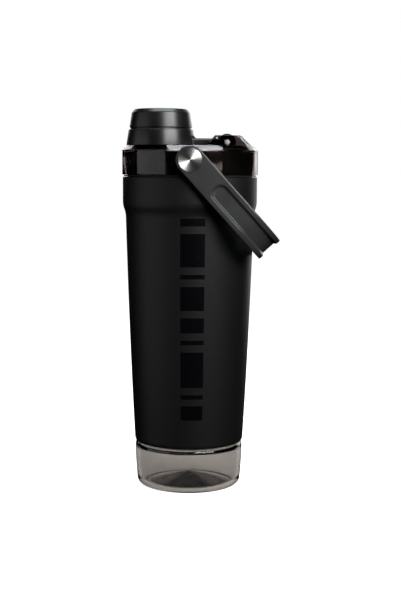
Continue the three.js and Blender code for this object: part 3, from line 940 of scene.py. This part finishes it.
def cap_carrier():
    start_x = CAP_X + CARRIER_BORE_R
    webs = [carrier_web(side, CARRIER_BOTTOM_Z + 0.1, ARM_TOP_Z - 1.4) for side in (-1, 1)]
    joins = [carrier_arm(start_x), carrier_gusset(start_x), carrier_barrel(), *webs]
    low = CARRIER_BOTTOM_Z - 1
    hub_line = [(0, low), (CARRIER_BORE_R, low), (CARRIER_BORE_R, CARRIER_LIP_Z), (0, CARRIER_LIP_Z)]
    hub = turned(hub_line, AROUND, (CAP_X, 0), closed=False)
    reach = KNUCKLE_HALF + 1
    pin_bore = prism(circle(PIN_BORE_R, 48), -reach, reach, "Y", HINGE)
    mesh = combined(carrier_ring(), joins, [hub, pin_bore])
    name = "cap_carrier_satin"
    piece(name, mesh, "carrier", SATIN_BLACK, ["cap_carrier"], CAP_ORIGIN, TO_CAP_ORIGIN)


def carrier_web(side, low, high):
    """The hollow corner where the arm's side runs into the ring."""
    hollow_r = 2
    ring_r = CARRIER_R - 0.35
    run = math.sqrt((ring_r + hollow_r) ** 2 - (ARM_HALF + hollow_r) ** 2)
    centre = Vector((CAP_X + run, ARM_HALF + hollow_r))
    on_ring = math.atan2(-centre.y, CAP_X - centre.x)
    outline = [(CAP_X + run, KNUCKLE_HALF - 1.5), (CAP_X + run - 4.4, KNUCKLE_HALF - 1.5)]
    for k in range(11):
        angle = on_ring + (-math.pi / 2 - on_ring) * k / 10
        point = centre + hollow_r * Vector((math.cos(angle), math.sin(angle)))
        outline.append(tuple(point))
    placed = [(x, side * y) for x, y in outline]
    return prism(placed, low, high, "Z")


def cap_shell():
    """The grip of the twist cap, hollow underneath."""
    top = CAP_TOP_Z
    top_r = CAP_R - 1.55
    outline = rounded(
        [
            (0, top - 0.15),
            (top_r - 4, top, 4),
            (top_r - 1.9, top - 0.25, 0.8),
            (top_r + 0.05, top - 2.6, 1.6),
            (CAP_R, CAP_BOTTOM_Z, 0.25),
            (CAP_R - 2, CAP_BOTTOM_Z, 0.25),
            (SKIRT_R + 0.35, CAP_BOTTOM_Z + 0.7),
            (SKIRT_R - 0.65, top - 4, 1),
            (top_r - 3, top - 2.8, 1),
            (0, top - 2.4),
        ],
        closed=False,
        steps=8,
    )
    mesh = turned(outline, closed=False)
    piece("cap_satin", mesh, "cap", SATIN_BLACK, ["cap_shell"], CAP_ORIGIN)


def cap_thread_insert():
    bore_r = SKIRT_R - 1.6
    disc_z = SPOUT_RIM_Z + 2.1
    low = insert_low.z
    outline = rounded(
        [
            (0, disc_z),
            (bore_r, disc_z, 0.5),
            (bore_r, low, 0.3),
            (SKIRT_R, low, 0.3),
            (SKIRT_R + 1.1, low + 0.8, 0.3),
            (SKIRT_R + 1.1, low + 1.8, 0.3),
            (SKIRT_R, low + 2.6, 0.4),
            (SKIRT_R, insert_high.z, 0.3),
            (0, insert_high.z),
        ],
        closed=False,
    )
    thread = ribs(bore_r + 0.3, bore_r - 1, 239.5, 6, 2)
    mesh = combined(turned(outline, closed=False), [thread])
    piece("cap_thread", mesh, "cap", DULL_BLACK, ["cap_thread_insert"], CAP_ORIGIN)


def cap_seal():
    low, high = box_mm("cap_seal")
    outline = washer(SPOUT_BORE_R - 0.3, SPOUT_R + 0.9, low.z, high.z, 0.35)
    mesh = turned(outline, AROUND_SMALL)
    piece("cap_seal_ring", mesh, "cap_seal_ring", SILICONE, ["cap_seal"], CAP_ORIGIN)


def hinge_pin():
    low, high = box_mm("hinge_pin")
    half = high.y
    radius = (high.z - low.z) / 2
    outline = rounded([(0, -half), (radius, -half, 0.3), (radius, half, 0.3), (0, half)], closed=False)
    mesh = turned(outline, 48, closed=False)
    quarter = Matrix.Rotation(math.pi / 2, 4, "X")
    piece("hinge_pin_steel", mesh, "lid", SATIN_STEEL, ["hinge_pin"], HINGE, quarter)


# ------------------------------------------------------------------ handle


def handle_stations():
    """Places along the strap, from the end of one head to the end of the other, as pairs of the
    distance walked and the local (x, y, outward x, outward y), and the whole distance."""
    head = STRAP_HALF_WIDTH
    bend_x = HANDLE_REACH - BEND_R
    bend_y = HANDLE_HALF - BEND_R
    arm = bend_x + head
    quarter = BEND_R * math.pi / 2
    bar = 2 * bend_y
    total = 2 * arm + 2 * quarter + bar

    def at(walked):
        mirrored = walked > total / 2
        s = total - walked if mirrored else walked
        if s < arm:
            x, y, nx, ny = s - head, -HANDLE_HALF, 0, -1
        elif s < arm + quarter:
            angle = (s - arm) / BEND_R
            nx, ny = math.sin(angle), -math.cos(angle)
            x, y = bend_x + BEND_R * nx, -bend_y + BEND_R * ny
        else:
            x, y, nx, ny = HANDLE_REACH, -bend_y + (s - arm - quarter), 1, 0
        if mirrored:
            y, ny = -y, -ny
        return x, y, nx, ny

    walks = [head * (1 - math.cos(math.pi / 2 * k / 18)) for k in range(19)]
    walks += [head + (CHANNEL_START - 0.4) * k / 8 for k in range(1, 9)]
    start = head + CHANNEL_START
    walks += [start - 0.4 + 7.2 * k / 26 for k in range(1, 27)]
    first = start + 6.8
    walks += [first + (arm - first) * k / 5 for k in range(1, 6)]
    walks += [arm + quarter * k / 32 for k in range(1, 33)]
    walks += [arm + quarter + bend_y * k / 8 for k in range(1, 9)]
    walks += [total - w for w in reversed(walks[:-1])]
    return [(w, at(w)) for w in walks], total


def eased_ramp(t, ease=0.2):
    """Rises from 0 to 1 in a straight line whose two ends are rounded off."""
    t = min(1, max(0, t))
    scale = 2 * ease * (1 - ease)
    if t < ease:
        return t * t / scale
    if t > 1 - ease:
        return 1 - (1 - t) ** 2 / scale
    return (t - ease / 2) / (1 - ease)


def strap_insets():
    """Distances in from one edge of the strap, close together where its surface turns."""
    from_edge = [0, 0.05, 0.16, 0.34, 0.56, 0.75, 1.6, 2.8]
    from_edge += [3.05, 3.14, 3.23, 3.32, 3.41, 3.95, 4.49, 4.58, 4.67, 4.76, 4.85, 5.2, 6.6, 8]
    return from_edge + [STRAP_HALF_WIDTH] + [2 * STRAP_HALF_WIDTH - e for e in reversed(from_edge)]


def depth_inside(half_width, along, across):
    """How far a point lies inside the outline of a band with a round end."""
    return half_width - math.hypot(max(0, half_width - along), across)


def edge_fall(distance):
    """How far the strap's rounded edge falls away at a distance from it."""
    edge = 0.75
    short = max(0, edge - distance)
    return edge - math.sqrt(edge * edge - short * short)


def strap_section(place, near):
    """Points round the strap at one station, where near is the distance from its nearer end."""
    x, y, nx, ny = place
    wide = STRAP_HALF_WIDTH
    half = math.sqrt(max(0, wide * wide - max(0, wide - near) ** 2)) + 0.02
    outer, inner = [], []
    for inset in strap_insets():
        w = half * (inset / wide - 1)
        fall = edge_fall(max(0, depth_inside(wide, near, w)))
        channel = depth_inside(CHANNEL_HALF_WIDTH, near - wide - CHANNEL_START, w)
        outer_n = -fall - CHANNEL_DEPTH * eased_ramp(channel / CHANNEL_WALL)
        inner_n = -STRAP_THICKNESS + fall
        outer.append((x + nx * outer_n, y + ny * outer_n, w))
        inner.append((x + nx * inner_n, y + ny * inner_n, w))
    return outer + inner[::-1]


def strap_mesh():
    """The bent strap, with the sunk channel along its outer face."""
    stations, total = handle_stations()
    bm = bmesh.new()
    rings = []
    for walked, place in stations:
        section = strap_section(place, min(walked, total - walked))
        rings.append([bm.verts.new(point) for point in section])
    return mesh_of(add_tube(bm, rings))


def head_holes():
    """In each head, the recess for the pivot's disc and the hole for the bush behind it."""
    disc_recess = (8.1, 50.7)
    bush_hole = (5.6, 40)
    past = HANDLE_HALF + 1.5
    cuts = []
    for side in (-1, 1):
        for radius, near in (disc_recess, bush_hole):
            low, high = sorted((side * near, side * past))
            cuts.append(prism(circle(radius), low, high, "Y"))
    return cuts


def handle_bail():
    mesh = combined(strap_mesh(), (), head_holes())
    turn = Matrix.Rotation(STRAP_ANGLE, 4, "Y")
    piece("handle_satin", mesh, "carry_handle", SATIN_GREY, ["handle"], PIVOT_ORIGIN, turn)


def pivot_pin(end, turn):
    """Stepped pin with a turned face and a small dimple in its middle."""
    outline = rounded(
        [
            (0, 42.6),
            (3.5, 42.6, 0.3),
            (3.5, 51),
            (7.8, 51, 0.2),
            (7.8, 52.3, 0.35),
            (1.35, 52.26, 0.1),
            (0, 51.3),
        ],
        closed=False,
    )
    mesh = turned(outline, AROUND_SMALL, closed=False)
    piece(f"pivot_{end}", mesh, "lid", TURNED_STEEL, [f"pivot_pin_{end}"], PIVOT_ORIGIN, turn)


def pivot_bush(end, turn):
    """Flanged bush between the pin and the handle."""
    outline = rounded(
        [
            (PIVOT_BORE_R, 46.9, 0.2),
            (7.5, 46.9, 0.2),
            (7.5, 47.6, 0.2),
            (5.3, 47.6, 0.1),
            (5.3, 50.4, 0.2),
            (PIVOT_BORE_R, 50.4, 0.2),
        ]
    )
    mesh = turned(outline, AROUND_SMALL)
    name = f"pivot_bush_{end}"
    piece(f"bush_{end}", mesh, "carry_handle", DULL_BLACK, [name], PIVOT_ORIGIN, turn)


def pivots():
    for end, angle in (("front", math.pi / 2), ("back", -math.pi / 2)):
        turn = Matrix.Rotation(angle, 4, "X")
        pivot_pin(end, turn)
        pivot_bush(end, turn)


# ------------------------------------------------------------------ studio


def softbox(name, place, target, width, height, brightness, tint=(1, 1, 1)):
    """A rectangular light whose face has the brightness asked for."""
    light = bpy.data.lights.new(name, "AREA")
    light.shape = "RECTANGLE"
    light.size = width
    light.size_y = height
    light.energy = brightness * math.pi * width * height
    light.color = tint
    made = bpy.data.objects.new(name, light)
    bpy.context.scene.collection.objects.link(made)
    made.location = place
    aim = Vector(target) - Vector(place)
    made.rotation_euler = aim.to_track_quat("-Z", "Y").to_euler()
    made.visible_camera = False
    return made


def floor_paper():
    """Bright paper that glows evenly, so that the floor has no far edge."""
    material, tree, shader = new_material("floor_paper")
    grain = noise(tree, 900, detail=3)
    tone = blend_colours(tree, spread(tree, grain, 0, 1), (0.8, 0.8, 0.8), (0.82, 0.82, 0.82))
    tree.links.new(tone, shader.inputs["Base Color"])
    set_inputs(shader, Roughness=0.9, Emission_Strength=1.0)
    shader.inputs["Emission Color"].default_value = (1, 1, 1, 1)
    return material


def from_bottle(azimuth, elevation, distance, height=0.2):
    """A place seen from the bottle: degrees to the right of the camera, and degrees up."""
    turn = math.radians(azimuth)
    rise = math.radians(elevation)
    x = distance * math.cos(rise) * math.sin(turn)
    y = -distance * math.cos(rise) * math.cos(turn)
    return (x, y, height + distance * math.sin(rise))


def paper_floor():
    """Level paper just under the bottle, cut short in front so that it isn't seen through the lid."""
    bm = bmesh.new()
    far, front, level = 30, -0.45, -0.00005
    corners = [(-far, front, level), (far, front, level), (far, far, level), (-far, far, level)]
    bm.faces.new([bm.verts.new(corner) for corner in corners])
    mesh = bpy.data.meshes.new("floor")
    bm.to_mesh(mesh)
    bm.free()
    floor = bpy.data.objects.new("floor", mesh)
    bpy.context.scene.collection.objects.link(floor)
    mesh.materials.append(floor_paper())
    floor.visible_glossy = False
    floor.visible_diffuse = False


def white_world():
    """White all round for the camera, hidden from what the bottle reflects or lets through."""
    world = bpy.data.worlds.new("studio_white")
    bpy.context.scene.world = world
    world.use_nodes = True
    background = world.node_tree.nodes["Background"]
    background.inputs["Color"].default_value = (1, 1, 1, 1)
    background.inputs["Strength"].default_value = 1.0
    world.cycles_visibility.glossy = False
    world.cycles_visibility.diffuse = False
    world.cycles_visibility.transmission = False


def softboxes():
    middle = (0, 0, 0.2)
    softbox("top_box", (0.075, 0, 1.1), (0.075, 0, 0), 0.775, 0.4, 8.5, (0.88, 0.95, 1))
    softbox("right_box", from_bottle(36, 24, 1.0), middle, 0.75, 0.42, 12.5)
    softbox("left_card", from_bottle(-70, 0, 1.0), middle, 1.1, 0.8, 0.68)
    softbox("back_right_card", from_bottle(150, 3, 0.9), middle, 0.35, 0.5, 1.5)
    softbox("back_card", (0, 0.95, 0.55), middle, 1.2, 0.45, 1.5)


def studio():
    paper_floor()
    white_world()
    softboxes()
    bpy.context.scene.view_settings.view_transform = "Standard"


def camera():
    """Level with the lid, looking slightly down at the bottle, with a long lens."""
    data = bpy.data.cameras.new("camera")
    data.sensor_width = 36
    data.lens = 73.68
    data.clip_start = 0.01
    made = bpy.data.objects.new("camera", data)
    bpy.context.scene.collection.objects.link(made)
    yaw = Matrix.Rotation(math.radians(-0.52), 4, "Z")
    pitch = Matrix.Rotation(math.radians(90 - 6.15), 4, "X")
    roll = Matrix.Rotation(math.radians(0.33), 4, "Z")
    made.matrix_world = Matrix.Translation((0, -0.85, 0.2201)) @ yaw @ pitch @ roll
    bpy.context.scene.camera = made


camera()
studio()
storage_cup()
body_gaskets()
outer_shell()
inner_liner()
base_plate()
vacuum_getter()
base_collar()
print_bars()
lid_shell()
inner_lid()
mixing_grid()
cap_carrier()
cap_shell()
cap_thread_insert()
cap_seal()
hinge_pin()
handle_bail()
pivots()
